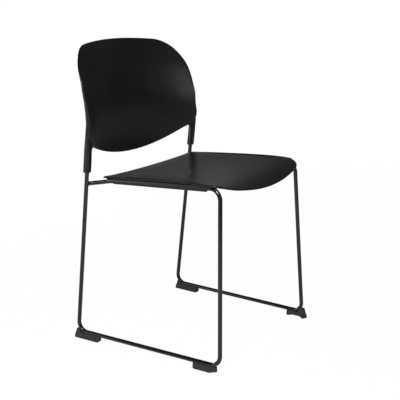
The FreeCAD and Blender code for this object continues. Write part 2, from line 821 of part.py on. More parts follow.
def sleeve_shape(side):
    """The sleeve round the post, thinning into the rim of the slab above the post."""
    top = post_top_height()
    bottom = sleeve_bottom()
    heights = [bottom, bottom + (top - bottom) * 0.4, bottom + (top - bottom) * 0.75, top]
    heights += [
        top + size("sleeve_taper_rise") * step / TAPER_STEPS for step in range(1, TAPER_STEPS + 1)
    ]
    sleeve = Part.makeLoft([sleeve_section(height, side) for height in heights], True, True)
    rim = [edge for edge in sleeve.Edges if edge.BoundBox.ZMax < bottom + 0.01]
    return sleeve.makeChamfer(size("sleeve_chamfer"), rim)


def backrest_screw(side, gap):
    """A countersunk screw from the rear through sleeve and post, or with a gap its hole."""
    head_face = back_screw_place(side) + Vector(0, sleeve_half() - size("back_screw_recess"), 0)
    radius = size("back_screw_diameter") / 2
    head_radius = size("back_screw_head_diameter") / 2
    length = sleeve_half() + rod_radius
    clear = size("back_screw_recess") * 4 if gap else 0
    outline = [
        (0, clear),
        (head_radius + gap, clear),
        (head_radius + gap, 0),
        (radius + gap, radius - head_radius),
        (radius + gap, -length - gap),
        (0, -length - gap),
        (0, clear),
    ]
    if not gap:
        outline = outline[1:-1]
        outline = [(0, 0)] + outline[1:] + [(0, 0)]
    corners = [head_face + Vector(across, along, 0) for across, along in outline]
    return Part.Face(Part.makePolygon(corners)).revolve(head_face, Vector(0, 1, 0), 360)


def backrest_shape():
    """The moulding: slab, two sleeves, their bores and the holes for the screws."""
    sides = [sleeve_shape(side) for _, side in SIDES] + [back_web(side) for _, side in SIDES]
    back = back_slab().fuse(sides)
    removed = []
    for _, side in SIDES:
        low = post_at(sleeve_bottom() - TRIM, side)
        high = post_top(side)
        reach = (high - low).Length + size("sleeve_gap")
        removed.append(Part.makeCylinder(rod_radius + size("sleeve_gap"), reach, low, high - low))
        removed.append(backrest_screw(side, size("screw_clearance")))
    return single_solid(back.cut(removed))


# Bodies with sketches bound to the sheet

def new_body(label):
    body = document.addObject("PartDesign::Body", label)
    body.Label = label
    return body


def new_sketch(body, label, role):
    """A sketch on one of the origin planes of its own body."""
    plane = [feature for feature in body.Origin.OriginFeatures if feature.Role == role][0]
    sketch = body.newObject("Sketcher::SketchObject", label)
    sketch.AttachmentSupport = [(plane, "")]
    sketch.MapMode = "FlatFace"
    return sketch


def bind(feature, **expressions):
    for name, expression in expressions.items():
        feature.setExpression(name, expression)


def bind_point(sketch, geometry, position, across, along):
    """Holds a point of the sketch at a place that the sheet gives."""
    for kind, expression in (("DistanceX", across), ("DistanceY", along)):
        value = float(sketch.evalExpression(expression))
        constraint = Sketcher.Constraint(kind, -1, 1, geometry, position, value)
        index = sketch.addConstraint(constraint)
        sketch.setExpression("Constraints[%d]" % index, expression)


def add_outline(sketch, corners):
    """A closed outline of straight runs, each corner a pair of expressions."""
    places = [
        Vector(float(sketch.evalExpression(across)), float(sketch.evalExpression(along)), 0)
        for across, along in corners
    ]
    first = sketch.GeometryCount
    followers = places[1:] + places[:1]
    for start, finish in zip(places, followers):
        sketch.addGeometry(Part.LineSegment(start, finish), False)
    for index, (across, along) in enumerate(corners):
        following = first + (index + 1) % len(corners)
        sketch.addConstraint(Sketcher.Constraint("Coincident", first + index, 2, following, 1))
        bind_point(sketch, first + index, 1, across, along)


def add_circle(sketch, across, along, diameter):
    centre = Vector(
        float(sketch.evalExpression(across)), float(sketch.evalExpression(along)), 0
    )
    radius = float(sketch.evalExpression(diameter)) / 2
    circle = sketch.addGeometry(Part.Circle(centre, UP, radius), False)
    bind_point(sketch, circle, 3, across, along)
    index = sketch.addConstraint(Sketcher.Constraint("Diameter", circle, radius * 2))
    sketch.setExpression("Constraints[%d]" % index, diameter)


def fillet_edges(body, label, radius, wanted):
    """Rounds the edges of the body that the test picks."""
    document.recompute()
    base = body.Tip
    names = [
        "Edge%d" % number for number, edge in enumerate(base.Shape.Edges, 1) if wanted(edge)
    ]
    fillet = body.newObject("PartDesign::Fillet", label)
    fillet.Base = (base, names)
    bind(fillet, Radius=radius)
    return fillet


def foot_block(name, side, end):
    """The moulded block of a glide, before the rod's groove is cut."""
    body = new_body("%s_block" % name)
    profile = new_sketch(body, "%s_profile" % name, "YZ_Plane")
    top = "sizes.runner_height + sizes.foot_heel_rise"
    toe = "sizes.foot_heel - sizes.foot_length"
    add_outline(profile, (
        ("sizes.foot_heel", "0"),
        ("sizes.foot_heel - sizes.foot_heel_lean", top),
        ("-sizes.foot_ramp_start", top),
        ("-sizes.foot_ramp_end", "sizes.runner_height"),
        (toe + " - sizes.foot_lip / 3", "sizes.runner_height"),
        (toe + " - sizes.foot_lip", "sizes.foot_side_height"),
        (toe, "0"),
    ))
    pad = body.newObject("PartDesign::Pad", "%s_pad" % name)
    pad.Profile = profile
    pad.Midplane = True
    bind(pad, Length="sizes.foot_width")
    flanks = new_sketch(body, "%s_flanks" % name, "XZ_Plane")
    for sign in ("", "-"):
        add_outline(flanks, (
            (sign + "sizes.foot_width / 2", "sizes.foot_side_height"),
            (sign + "(sizes.rod_diameter / 2 + sizes.foot_gap + sizes.foot_wall)", top),
            (sign + "sizes.foot_width", top),
            (sign + "sizes.foot_width", "sizes.foot_side_height"),
        ))
    pocket = body.newObject("PartDesign::Pocket", "%s_taper" % name)
    pocket.Profile = flanks
    pocket.Type = 1
    pocket.Midplane = True
    if end < 0:
        add_foot_arch(body, name, side)
    fillet_edges(body, "%s_rounding" % name, "sizes.foot_rounding", is_foot_corner)
    body.Placement = foot_frame(side, end)
    return body


def add_foot_arch(body, name, side):
    """The arch in the inner side of a front glide, which leaves a pad at each end."""
    arch = new_sketch(body, "%s_arch_outline" % name, "YZ_Plane")
    heel_pad = "sizes.foot_heel - sizes.foot_heel_pad"
    toe_pad = "sizes.foot_heel - sizes.foot_length + sizes.foot_toe_pad"
    add_outline(arch, (
        (heel_pad, "-sizes.foot_arch_height"),
        (heel_pad + " - sizes.foot_arch_height", "sizes.foot_arch_height"),
        (toe_pad + " + sizes.foot_arch_height", "sizes.foot_arch_height"),
        (toe_pad, "-sizes.foot_arch_height"),
    ))
    cut = body.newObject("PartDesign::Pocket", "%s_arch" % name)
    cut.Profile = arch
    cut.Type = 1
    document.recompute()
    if body.Shape.Solids[0].CenterOfMass.x * side > 0:
        cut.Reversed = True


def is_foot_corner(edge):
    """The upright corners of a glide at its toe and heel."""
    box = edge.BoundBox
    return box.ZLength > 5 and box.ZLength > box.YLength and edge.Length > 7


def add_foot(name, side, end):
    """A glide: its block less the rod's groove, with a peg that enters the rod."""
    block = foot_block(name, side, end)
    groove = document.addObject("Part::Feature", "%s_groove" % name)
    rod = rear_half_rod if end > 0 else front_half_rod
    groove.Shape = rod(side, rod_radius + size("foot_gap"))
    cradle = document.addObject("Part::Cut", "%s_cradle" % name)
    cradle.Base = block
    cradle.Tool = groove
    peg = document.addObject("Part::Cylinder", "%s_peg" % name)
    bind(
        peg,
        Radius="sizes.foot_peg_diameter / 2",
        Height="sizes.foot_peg_height + sizes.runner_height / 2 - sizes.rod_diameter / 2",
    )
    centre = Vector(0, -size("foot_peg_setback"), size("runner_height") / 2)
    peg.Placement = foot_frame(side, end) * FreeCAD.Placement(centre, FreeCAD.Rotation())
    foot = document.addObject("Part::Fuse", name)
    foot.Base = cradle
    foot.Tool = peg
    foot.Label = name
    return foot


def add_tab(name, end_name, end, side, rod):
    """A pressed tab on top of a cross rod, with the hole for its screw."""
    body = new_body("%s_plate" % name)
    outline = new_sketch(body, "%s_outline" % name, "XY_Plane")
    add_outline(outline, (
        ("-sizes.tab_width / 2", "-sizes.rod_diameter / 2"),
        ("sizes.tab_width / 2", "-sizes.rod_diameter / 2"),
        ("sizes.tab_width / 2", "sizes.tab_length - sizes.rod_diameter / 2"),
        ("-sizes.tab_width / 2", "sizes.tab_length - sizes.rod_diameter / 2"),
    ))
    pad = body.newObject("PartDesign::Pad", "%s_pad" % name)
    pad.Profile = outline
    bind(pad, Length="sizes.tab_thickness")
    hole = new_sketch(body, "%s_hole" % name, "XY_Plane")
    add_circle(hole, "0", "sizes.tab_hole_offset", "sizes.tab_hole_diameter")
    drilled = body.newObject("PartDesign::Pocket", "%s_drilled" % name)
    drilled.Profile = hole
    drilled.Type = 1
    drilled.Midplane = True
    fillet_edges(body, "%s_rounding" % name, "sizes.tab_corner_radius", is_tab_corner)
    station = cross_station(end_name)
    corner = place(size("tab_half_spacing"), station, tab_level(end_name), side)
    turn = FreeCAD.Rotation(UP, 0 if end > 0 else 180)
    body.Placement = FreeCAD.Placement(corner, turn)
    tab = document.addObject("Part::Cut", name)
    tab.Base = body
    tab.Tool = rod
    tab.Label = name
    return tab


def is_tab_corner(edge):
    """The two upright corners at the free end of a tab."""
    return edge.BoundBox.ZLength > 1 and edge.BoundBox.XLength < 0.01 and edge.BoundBox.YMin > 10


def add_seat_screws():
    """The four alike pan-head screws, turned once and copied to the tabs."""
    body = new_body("seat_screw_turned")
    profile = new_sketch(body, "seat_screw_profile", "XZ_Plane")
    sheet.set("B%d" % (len(DIMENSIONS) + 1), str(screw_reach()))
    sheet.setAlias("B%d" % (len(DIMENSIONS) + 1), "seat_screw_reach")
    document.recompute()
    shank = "sizes.seat_screw_diameter / 2"
    head = "sizes.seat_screw_head_diameter / 2"
    add_outline(profile, (
        ("0", "-sizes.seat_screw_head_height"),
        (head + " * 0.7", "-sizes.seat_screw_head_height"),
        (head, "-sizes.seat_screw_head_height * 0.4"),
        (head, "0"),
        (shank, "0"),
        (shank, "sizes.seat_screw_reach - " + shank),
        ("0", "sizes.seat_screw_reach"),
    ))
    turned = body.newObject("PartDesign::Revolution", "seat_screw_turning")
    turned.Profile = profile
    turned.ReferenceAxis = (profile, ["V_Axis"])
    turned.Angle = 360
    document.recompute()
    copies = []
    for end_name, end, _, side in tab_places():
        copy = body.Shape.copy()
        copy.translate(screw_place(end_name, end, side))
        copies.append(copy.Solids[0])
    return add_feature("seat_screws", Part.makeCompound(copies))


# The parts of the chair

seat_face = seat_upper_face()
parts = []
frames = [side_frame_shape(side) for _, side in SIDES]
for (side_name, _), frame in zip(SIDES, frames):
    parts.append(add_feature("side_frame_%s" % side_name, frame))
for end_name, _ in ENDS:
    rod = add_feature("%s_cross_rod" % end_name, cross_rod_shape(end_name))
    parts.append(rod)
    for side_name, side in SIDES:
        end = dict(ENDS)[end_name]
        parts.append(add_tab("seat_tab_%s_%s" % (end_name, side_name), end_name, end, side, rod))
for end_name, end in ENDS:
    for side_name, side in SIDES:
        parts.append(add_foot("foot_%s_%s" % (end_name, side_name), side, end))
parts.append(add_feature("seat_shell", seat_shell_shape()))
parts.append(add_feature("backrest_shell", backrest_shape()))
parts.append(add_seat_screws())
back_screws = [backrest_screw(side, 0).Solids[0] for _, side in SIDES]
parts.append(add_feature("backrest_screws", Part.makeCompound(back_screws)))
document.recompute()

for item in document.Objects:
    if "Invalid" in item.State or "Error" in item.State:
        raise ValueError("%s failed" % item.Label)
for item in parts:
    if item.Shape.isNull() or not item.Shape.isValid():
        raise ValueError("%s has no sound shape" % item.Label)

os.makedirs("parts", exist_ok=True)
for item in parts:
    item.Shape.exportStep("parts/%s.step" % item.Label)
    box = item.Shape.BoundBox
    print("%-24s %9.0f mm3  x %.1f %.1f  y %.1f %.1f  z %.1f %.1f" % (
        item.Label, item.Shape.Volume, box.XMin, box.XMax, box.YMin, box.YMax, box.ZMin, box.ZMax
    ))
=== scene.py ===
"""Studio scene of a stacking choir chair: black moulded seat and back on a black rod frame."""
import math

import bpy
from mathutils import Matrix, Vector


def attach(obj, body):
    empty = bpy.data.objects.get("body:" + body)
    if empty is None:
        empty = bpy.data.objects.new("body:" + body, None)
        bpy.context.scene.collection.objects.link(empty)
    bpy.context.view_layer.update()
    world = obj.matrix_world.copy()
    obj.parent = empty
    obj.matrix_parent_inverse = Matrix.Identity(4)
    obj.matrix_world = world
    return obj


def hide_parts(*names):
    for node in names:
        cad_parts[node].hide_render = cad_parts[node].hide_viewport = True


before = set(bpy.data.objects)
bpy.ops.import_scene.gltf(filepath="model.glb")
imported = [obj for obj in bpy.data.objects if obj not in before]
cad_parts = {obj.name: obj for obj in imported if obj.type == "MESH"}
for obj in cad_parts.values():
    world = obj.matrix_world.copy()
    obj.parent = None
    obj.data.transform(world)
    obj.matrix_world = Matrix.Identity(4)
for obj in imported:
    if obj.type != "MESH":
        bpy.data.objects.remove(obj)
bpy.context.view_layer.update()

# Camera, found from the photograph: place in metres, angles in degrees, lens in millimetres
CAMERA_PLACE = Vector((-1.8529, -1.2704, 0.9337))
CAMERA_YAW = -56.287
CAMERA_PITCH = -14.182
CAMERA_ROLL = -0.244
CAMERA_LENS = 76.34
CAMERA_SENSOR = 36.0

# Floor: its size, its own grey, how white the camera sees it by the chair, and the distances
# from the chair between which that rises to full white
FLOOR_SIZE = 240.0
FLOOR_GREY = (0.8, 0.8, 0.8, 1.0)
FLOOR_ROUGHNESS = 0.9
FLOOR_WHITE = 0.975
SHADOW_REACH = (0.7, 3.0)

# Light: the strength of the even surrounding light, then for each lamp its name, its place,
# the height of the point it faces above the middle of the floor, its size and its power in watts
SKY_STRENGTH = 0.089
LAMPS = (
    ("front_lamp", (0.9, -2.9, 1.4), 0.5, 1.2, 12.7),
    ("left_lamp", (-2.0, -0.9, 2.2), 0.35, 0.5, 97.2),
    ("low_lamp", (-2.05, 1.75, 0.42), 0.35, 0.7, 8.0),
    ("right_lamp", (1.9, 1.4, 1.6), 0.45, 1.2, 0.37),
    ("right_low_lamp", (2.4, 1.6, 0.85), 0.45, 0.8, 0.29),
    ("rear_low_lamp", (1.2, 2.6, 0.9), 0.45, 0.8, 40.6),
)

# Finishes, as linear colours
SHELL_BLACK = (0.0036, 0.0035, 0.0036, 1.0)
SHELL_WORN = (0.0068, 0.0062, 0.006, 1.0)
COAT_BLACK = (0.0032, 0.0032, 0.0035, 1.0)
COAT_WORN = (0.006, 0.006, 0.0062, 1.0)
GLIDE_BLACK = (0.0048, 0.0048, 0.0048, 1.0)
GLIDE_WORN = (0.012, 0.0118, 0.0115, 1.0)
SCREW_BLACK = (0.016, 0.016, 0.017, 1.0)
SCREW_WORN = (0.05, 0.05, 0.052, 1.0)

# Grain: the share of dust among the pebbles, and the noise values between which the mottle runs
DUST_SHARE = 0.5
MOTTLE_RANGE = (0.34, 0.66)

# Colour sockets of a Mix node, which share their names with others and go by number
MIX_FIRST = 6
MIX_SECOND = 7
MIX_RESULT = 2

# Merging and shading of the meshes: metres and degrees
MERGE_DISTANCE = 0.00001
SMOOTH_ANGLE = 48.0

# Selecting: slack in metres, and how far up a normal points on a block's top and on the seat's
TOUCH = 0.001
BLOCK_TOP = 0.9
SEAT_TOP = 0.6

# Places on the frame, in metres: the corners of the left runner, and the line of the left seat rail
REAR_CORNER = Vector((0.2345, 0.2105, 0.0))
FRONT_CORNER = Vector((0.2207, -0.2385, 0.0))
RAIL_FRONT = Vector((0.1915, -0.2200, 0.4630))
RAIL_REAR = Vector((0.1920, 0.1150, 0.4420))
SIDES = (("left", 1), ("right", -1))

# Small moves of the shells' outlines, in the order in which they are made at each side. For each:
# the node, how far outward and how far back its patch begins, the heights between which it lies,
# its move (outward, back, up), and how far round the patch the mesh follows. ANYWHERE and TOP,
# ahead of and above the whole chair, set no limit
ANYWHERE = -1.0
TOP = 1.0
PULLS = (
    ("backrest_shell", (0.236, ANYWHERE), (0.58, 0.62), (-0.0055, 0, 0), 0.065),
    ("backrest_shell", (0.236, ANYWHERE), (0.58, 0.60), (-0.0032, 0.0020, 0), 0.03),
    ("backrest_shell", (0.232, ANYWHERE), (0.606, 0.634), (0.0020, -0.0012, 0), 0.026),
    ("backrest_shell", (0.232, ANYWHERE), (0.66, 0.69), (0.0011, -0.002, 0), 0.05),
    ("backrest_shell", (0.225, ANYWHERE), (0.545, 0.575), (0.0032, -0.0017, 0), 0.03),
    ("seat_shell", (0.196, 0.126), (0.445, TOP), (0, 0.003, 0), 0.03),
    ("backrest_shell", (0.16, ANYWHERE), (0.75, TOP), (0.003, -0.002, 0), 0.12),
    ("backrest_shell", (0.17, ANYWHERE), (0.765, TOP), (0, -0.0028, 0), 0.045),
)

# Groove along the rim of the seat: its ends in plan, its width and its depth
GROOVE_REAR = Vector((0.1950, 0.0700, 0.0))
GROOVE_FRONT = Vector((0.1920, -0.1600, 0.0))
GROOVE_WIDTH = 0.0022
GROOVE_DEPTH = 0.0010

# Flank of the seat channel: half its height and half its swell, and where it lies along the rail.
# It starts as a cylinder, longer than the flank by its spare, whose ends are cut at a slant
FLANK_HALF_HEIGHT = 0.0068
FLANK_SWELL = 0.0018
FLANK_OUTWARD = 0.0078
FLANK_RISE = 0.0013
FLANK_FRONT = -0.196
FLANK_REAR = 0.112
FLANK_SLANT = 58.0
FLANK_FRONT_SWELL = 1.25
FLANK_CORNERS = 28
FLANK_SPARE = 1.3

# Glides: half widths and heights, the heel with its slopes, and the rounding of the edges
GLIDE_HALF_WIDTH = 0.0075
GLIDE_TOP_HALF_WIDTH = 0.0060
GLIDE_WALL_TOP = 0.0170
GLIDE_SIDE_TOP = 0.0080
GLIDE_HEEL_LENGTH = 0.0180
GLIDE_HEEL_SLOPE = 0.002
GLIDE_LEAN = 0.0070
GLIDE_ARCH = (0.0130, 0.0360)
GLIDE_ARCH_HEIGHT = 0.0060
GLIDE_TOE_ROUND = 0.0040
GLIDE_EDGE_ROUND = 0.0012
GLIDE_EDGE_ANGLE = 25.0
GLIDE_ROUND_STEPS = 3

# For each glide the distances from the corner of the runner to its heel and its toe (outward
# positive), the slant of its heel end, and the height of its heel, 0 where it has none
GLIDES = {
    "foot_rear_left": (0.0020, -0.0790, 0.0, 0.0280),
    "foot_rear_right": (0.0090, -0.0715, 0.0, 0.0280),
    "foot_front_left": (0.0095, -0.0465, 0.0080, 0.0300),
    "foot_front_right": (-0.0190, -0.0765, -0.0150, 0.0),
}


# Shader trees and finishes

def add_node(tree, kind, **values):
    """A node of the tree, with its settings and the plain values of its sockets."""
    node = tree.nodes.new(kind)
    for name, value in values.items():
        if name in node.inputs:
            node.inputs[name].default_value = value
        else:
            setattr(node, name, value)
    return node


def join(tree, *links):
    """Links sockets of a tree, each link given as node and output, then node and input."""
    for source, output, target, entry in links:
        tree.links.new(source.outputs[output], target.inputs[entry])


def new_group(name, inputs, outputs):
    """An empty shader group with its own sockets, and its two end nodes."""
    group = bpy.data.node_groups.new(name, "ShaderNodeTree")
    for label, kind, value in inputs:
        socket = group.interface.new_socket(name=label, in_out="INPUT", socket_type=kind)
        if value is not None:
            socket.default_value = value
    for label, kind in outputs:
        group.interface.new_socket(name=label, in_out="OUTPUT", socket_type=kind)
    return group, group.nodes.new("NodeGroupInput"), group.nodes.new("NodeGroupOutput")


def grain_group():
    """Moulding grain: a fine pebbled normal, and a slow unevenness of the surface as a mask."""
    group, start, end = new_group(
        "moulding_grain",
        (
            ("Vector", "NodeSocketVector", None),
            ("Grain Size", "NodeSocketFloat", 1400.0),
            ("Grain Depth", "NodeSocketFloat", 0.00003),
            ("Mottle Size", "NodeSocketFloat", 14.0),
        ),
        (("Normal", "NodeSocketVector"), ("Mottle", "NodeSocketFloat")),
    )
    pebbles = add_node(group, "ShaderNodeTexVoronoi", feature="SMOOTH_F1", Smoothness=0.6)
    dust = add_node(group, "ShaderNodeTexNoise", Detail=3.0, Roughness=0.6)
    mixed = add_node(group, "ShaderNodeMath", operation="MULTIPLY_ADD")
    mixed.inputs[1].default_value = DUST_SHARE
    bump = add_node(group, "ShaderNodeBump", Strength=1.0)
    mottle = add_node(group, "ShaderNodeTexNoise", Detail=4.0, Roughness=0.55)
    spread = add_node(group, "ShaderNodeMapRange")
    spread.inputs["From Min"].default_value = MOTTLE_RANGE[0]
    spread.inputs["From Max"].default_value = MOTTLE_RANGE[1]
    join(
        group,
        (start, "Vector", pebbles, "Vector"),
        (start, "Vector", dust, "Vector"),
        (start, "Vector", mottle, "Vector"),
        (start, "Grain Size", pebbles, "Scale"),
        (start, "Grain Size", dust, "Scale"),
        (start, "Mottle Size", mottle, "Scale"),
        (dust, "Fac", mixed, 0),
        (pebbles, "Distance", mixed, 2),
        (mixed, "Value", bump, "Height"),
        (start, "Grain Depth", bump, "Distance"),
        (mottle, "Fac", spread, "Value"),
        (bump, "Normal", end, "Normal"),
        (spread, "Result", end, "Mottle"),
    )
    return group


GRAIN = grain_group()


def finish_material(name, tones, roughness, grain_size, grain_depth, mottle_size, **sockets):
    """A material of grained black: two tones and two roughnesses, mixed by the slow mottle."""
    material = bpy.data.materials.new(name)
    material.use_nodes = True
    tree = material.node_tree
    shader = tree.nodes["Principled BSDF"]
    for label, value in sockets.items():
        shader.inputs[label.replace("_", " ")].default_value = value
    place = tree.nodes.new("ShaderNodeTexCoord")
    effect = tree.nodes.new("ShaderNodeGroup")
    effect.node_tree = GRAIN
    effect.inputs["Grain Size"].default_value = grain_size
    effect.inputs["Grain Depth"].default_value = grain_depth
    effect.inputs["Mottle Size"].default_value = mottle_size
    tint = add_node(tree, "ShaderNodeMix", data_type="RGBA")
    tint.inputs[MIX_FIRST].default_value = tones[0]
    tint.inputs[MIX_SECOND].default_value = tones[1]
    rough = add_node(tree, "ShaderNodeMapRange")
    rough.inputs["To Min"].default_value = roughness[0]
    rough.inputs["To Max"].default_value = roughness[1]
    join(
        tree,
        (place, "Object", effect, "Vector"),
        (effect, "Mottle", tint, "Factor"),
        (tint, MIX_RESULT, shader, "Base Color"),
        (effect, "Mottle", rough, "Value"),
        (rough, "Result", shader, "Roughness"),
        (effect, "Normal", shader, "Normal"),
    )
    return material


shell_plastic = finish_material(
    "shell_plastic", tones=(SHELL_BLACK, SHELL_WORN), roughness=(0.28, 0.35),
    grain_size=1600.0, grain_depth=0.00002, mottle_size=9.0, Specular_IOR_Level=0.3,
)
powder_coat = finish_material(
    "powder_coat", tones=(COAT_BLACK, COAT_WORN), roughness=(0.18, 0.22),
    grain_size=900.0, grain_depth=0.0000004, mottle_size=40.0, Specular_IOR_Level=0.4,
)
glide_plastic = finish_material(
    "glide_plastic", tones=(GLIDE_BLACK, GLIDE_WORN), roughness=(0.48, 0.6),
    grain_size=1800.0, grain_depth=0.00002, mottle_size=60.0,
)
screw_coat = finish_material(
    "screw_coat", tones=(SCREW_BLACK, SCREW_WORN), roughness=(0.3, 0.4),
    grain_size=3000.0, grain_depth=0.00001, mottle_size=60.0, Metallic=0.6,
)


def finish_of(node):
    """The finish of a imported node, by its name."""
    if node.endswith("shell"):
        return shell_plastic
    return screw_coat if node.endswith("screws") else powder_coat


# Steps that several pieces share

def take(piece):
    """Selects a piece alone and makes it the active one."""
    bpy.ops.object.select_all(action="DESELECT")
    bpy.context.view_layer.objects.active = piece
    piece.select_set(True)


def select_edges(mesh, chosen):
    """In edit mode, selects the edges whose two ends pass the test."""
    bpy.ops.mesh.select_all(action="DESELECT")
    bpy.ops.object.mode_set(mode="OBJECT")
    for edge in mesh.edges:
        first, second = (mesh.vertices[index].co for index in edge.vertices)
        edge.select = chosen(first, second)
    bpy.ops.object.mode_set(mode="EDIT")
    bpy.ops.mesh.select_mode(type="EDGE")


def select_faces(mesh, chosen):
    """In edit mode, selects the faces that pass the test, by middle and normal."""
    bpy.ops.mesh.select_mode(type="FACE")
    bpy.ops.mesh.select_all(action="DESELECT")
    bpy.ops.object.mode_set(mode="OBJECT")
    for face in mesh.polygons:
        face.select = chosen(face.center, face.normal)
    bpy.ops.object.mode_set(mode="EDIT")


def cut(place, normal, **options):
    """In edit mode, cuts the whole mesh along a plane."""
    bpy.ops.mesh.select_all(action="SELECT")
    bpy.ops.mesh.bisect(plane_co=place, plane_no=normal, **options)


def extrude(rise):
    """In edit mode, extrudes the selected faces upwards, or down where the rise is negative."""
    bpy.ops.mesh.extrude_region_move(TRANSFORM_OT_translate={"value": (0, 0, rise)})


def dress(piece, material):
    """Gives a piece its finish and its shading, and puts it on the chair's one body."""
    take(piece)
    piece.data.materials.clear()
    piece.data.materials.append(material)
    bpy.ops.object.shade_smooth_by_angle(angle=math.radians(SMOOTH_ANGLE))
    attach(piece, "root")


def settle(piece, material, placement):
    """Puts a finished piece into its place, with its object left at the origin."""
    piece.data.transform(placement)
    piece.matrix_world = Matrix.Identity(4)
    if placement.determinant() < 0:
        piece.data.flip_normals()
    dress(piece, material)


# The shells, the frame and the screws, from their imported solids

def merged_copy(node, material):
    """A smoothly shaded copy of a CAD node, which stands for it."""
    piece = bpy.data.objects.new(node + "_shown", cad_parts[node].data.copy())
    bpy.context.scene.collection.objects.link(piece)
    take(piece)
    bpy.ops.object.mode_set(mode="EDIT")
    bpy.ops.mesh.select_all(action="SELECT")
    bpy.ops.mesh.remove_doubles(threshold=MERGE_DISTANCE)
    bpy.ops.object.mode_set(mode="OBJECT")
    dress(piece, material)
    even = piece.modifiers.new("even_normals", "WEIGHTED_NORMAL")
    even.keep_sharp = True
    bpy.ops.object.modifier_apply(modifier=even.name)
    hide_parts(node)
    return piece


def pull(piece, side, beginning, heights, move, reach):
    """Moves a patch of a shell at one side, and the mesh within reach of it less and less."""
    take(piece)
    bpy.ops.object.mode_set(mode="EDIT")
    bpy.ops.mesh.select_all(action="DESELECT")
    bpy.ops.object.mode_set(mode="OBJECT")
    for vertex in piece.data.vertices:
        at = vertex.co
        past = at.x * side > beginning[0] and at.y > beginning[1]
        vertex.select = past and heights[0] < at.z < heights[1]
    bpy.ops.object.mode_set(mode="EDIT")
    bpy.ops.transform.translate(
        value=(move[0] * side, move[1], move[2]), use_proportional_edit=True,
        proportional_edit_falloff="SMOOTH", proportional_size=reach,
    )
    bpy.ops.object.mode_set(mode="OBJECT")


def edge_groove(piece, side):
    """The fine groove in the top of the seat, along its rim at one side."""
    along = (GROOVE_FRONT - GROOVE_REAR).normalized()
    across = Vector((along.y, -along.x, 0)) * math.copysign(1, along.y)
    take(piece)
    bpy.ops.object.mode_set(mode="EDIT")
    for offset in (0.0, GROOVE_WIDTH):
        place = GROOVE_REAR - across * offset
        cut((place.x * side, place.y, 0), (across.x * side, across.y, 0))

    def in_groove(middle, normal):
        reach = (Vector((middle.x * side, middle.y, 0)) - GROOVE_REAR).dot(across)
        inside = -GROOVE_WIDTH < reach < 0 and GROOVE_FRONT.y < middle.y < GROOVE_REAR.y
        return inside and normal.z > SEAT_TOP

    select_faces(piece.data, in_groove)
    extrude(-GROOVE_DEPTH)
    bpy.ops.object.mode_set(mode="OBJECT")
    bpy.ops.object.shade_smooth_by_angle(angle=math.radians(SMOOTH_ANGLE))


# Flanks and glides, modelled here

def channel_flank(side_name, side):
    """The swelling outer face of the channel under the edge of the seat."""
    bpy.ops.object.select_all(action="DESELECT")
    length = FLANK_REAR - FLANK_FRONT
    bpy.ops.mesh.primitive_cylinder_add(
        vertices=FLANK_CORNERS, radius=FLANK_HALF_HEIGHT, depth=length * FLANK_SPARE,
        rotation=(math.pi / 2, 0, 0),
    )
    piece = bpy.context.object
    piece.name = "channel_flank_" + side_name
    bpy.ops.object.transform_apply(location=True, rotation=True, scale=True)
    bpy.ops.object.mode_set(mode="EDIT")
    bpy.ops.transform.resize(value=(FLANK_SWELL / FLANK_HALF_HEIGHT, 1, 1))
    slant = math.radians(FLANK_SLANT)
    for end in (1, -1):
        cut(
            (0, end * length / 2, 0), (0, end * math.cos(slant), -math.sin(slant)),
            use_fill=True, clear_outer=True,
        )
    select_edges(piece.data, lambda first, second: max(first.y, second.y) < 0)
    bpy.ops.transform.resize(value=(1.0, 1.0, FLANK_FRONT_SWELL))
    bpy.ops.object.mode_set(mode="OBJECT")
    along = (RAIL_REAR - RAIL_FRONT).normalized()
    middle = (FLANK_FRONT + FLANK_REAR) / 2
    centre = RAIL_FRONT + along * ((middle - RAIL_FRONT.y) / along.y)
    centre += Vector((FLANK_OUTWARD, 0, FLANK_RISE))
    turn = Matrix.Rotation(math.atan2(along.z, along.y), 4, "X")
    mirror = Matrix.Diagonal((side, 1, 1, 1))
    settle(piece, shell_plastic, mirror @ Matrix.Translation(centre) @ turn)


def raise_heel(mesh, heel, heel_top):
    """In edit mode, draws the heel of a glide up behind the bend and leans it inward."""
    heel_foot = heel - GLIDE_HEEL_LENGTH
    cut((0, heel_foot, 0), (0, 1, 0))
    select_faces(mesh, lambda middle, normal: normal.z > BLOCK_TOP and middle.y > heel_foot)
    extrude(heel_top - GLIDE_WALL_TOP)
    select_edges(mesh, lambda first, second: (
        min(first.z, second.z) > GLIDE_WALL_TOP + TOUCH
        and max(first.y, second.y) < heel_foot + TOUCH
    ))
    bpy.ops.transform.translate(value=(0, GLIDE_HEEL_SLOPE, 0))
    select_edges(mesh, lambda first, second: (
        min(first.z, second.z) > GLIDE_WALL_TOP + TOUCH
        and min(first.y, second.y) > heel - TOUCH
    ))
    bpy.ops.transform.translate(value=(0, -GLIDE_LEAN, 0))
    select_edges(mesh, lambda first, second: (
        max(abs(first.z - GLIDE_WALL_TOP), abs(second.z - GLIDE_WALL_TOP)) < TOUCH
        and min(first.y, second.y) > heel - TOUCH
    ))
    bpy.ops.transform.translate(value=(0, -GLIDE_LEAN / 2, 0))


def slant_heel(mesh, heel, slant):
    """In edit mode, slants a glide's heel end: its two sides move opposite ways."""
    heel_end = heel - GLIDE_LEAN - TOUCH
    for half in (1, -1):
        select_edges(mesh, lambda first, second: (
            min(first.x * half, second.x * half) > TOUCH
            and min(first.y, second.y) > heel_end
        ))
        bpy.ops.transform.translate(value=(0, half * slant / 2, 0))


